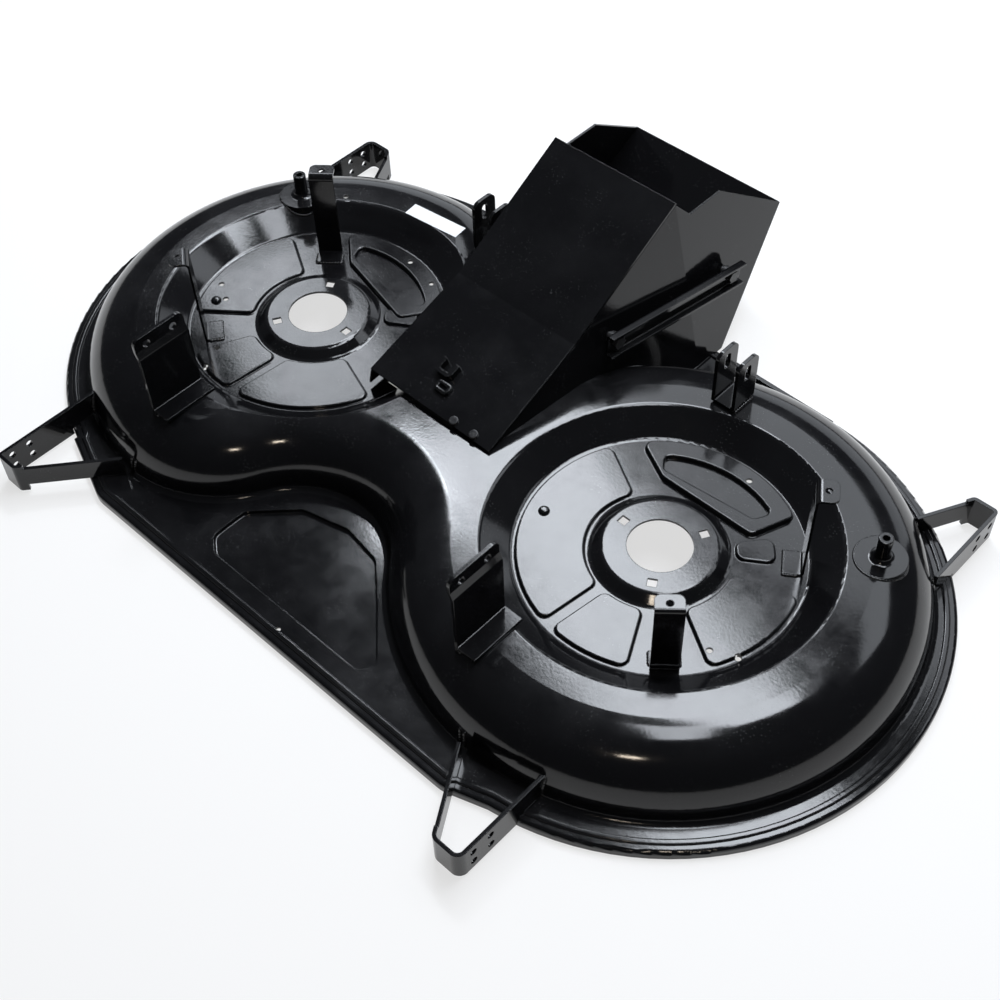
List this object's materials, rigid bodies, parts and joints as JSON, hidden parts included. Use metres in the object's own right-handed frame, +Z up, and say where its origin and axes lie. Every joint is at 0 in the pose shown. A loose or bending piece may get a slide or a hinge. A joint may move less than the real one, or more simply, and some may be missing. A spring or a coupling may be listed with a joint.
{
  "type": "lawn mower deck",
  "caption": "Pressed steel mower deck with domed blade chambers, spindle seats, a rear discharge chute, lift brackets, belt guards and gauge wheel brackets.",
  "frame": {"origin": "midway between the two spindle axes, in the plane of the rim's lower edge", "axes": "+X towards the left spindle, +Y towards the rear where the chute points, +Z up along the spindles"},
  "size_m": [1.1, 0.799, 0.221],
  "materials": {
    "black_paint": "gloss black paint on steel sheet",
    "black_fastener": "satin black steel fastener",
    "label_paper": "plain white label"
  },
  "bodies": {
    "root": {"deck_shell": "black_paint", "chute_cover": "black_paint", "chute_duct": "black_paint", "chute_brace": "black_paint", "brace_bolts": "black_fastener", "cover_rivets": "black_fastener", "spring_hook": "black_paint", "front_wheel_bracket_left": "black_paint", "front_wheel_bracket_right": "black_paint", "rear_wheel_bracket_left": "black_paint", "rear_wheel_bracket_right": "black_paint", "belt_guard_left_front": "black_paint", "belt_guard_left_rear": "black_paint", "belt_guard_right_front": "black_paint", "belt_guard_right_rear": "black_paint", "front_lift_bracket_left": "black_paint", "front_lift_bracket_right": "black_paint", "rear_lift_clevis_left": "black_paint", "rear_lift_clevis_right": "black_paint", "post_left": "black_paint", "post_right": "black_paint", "rear_rail_left": "black_paint", "rear_rail_right": "black_paint", "label": "label_paper"}
  },
  "joints": []
}
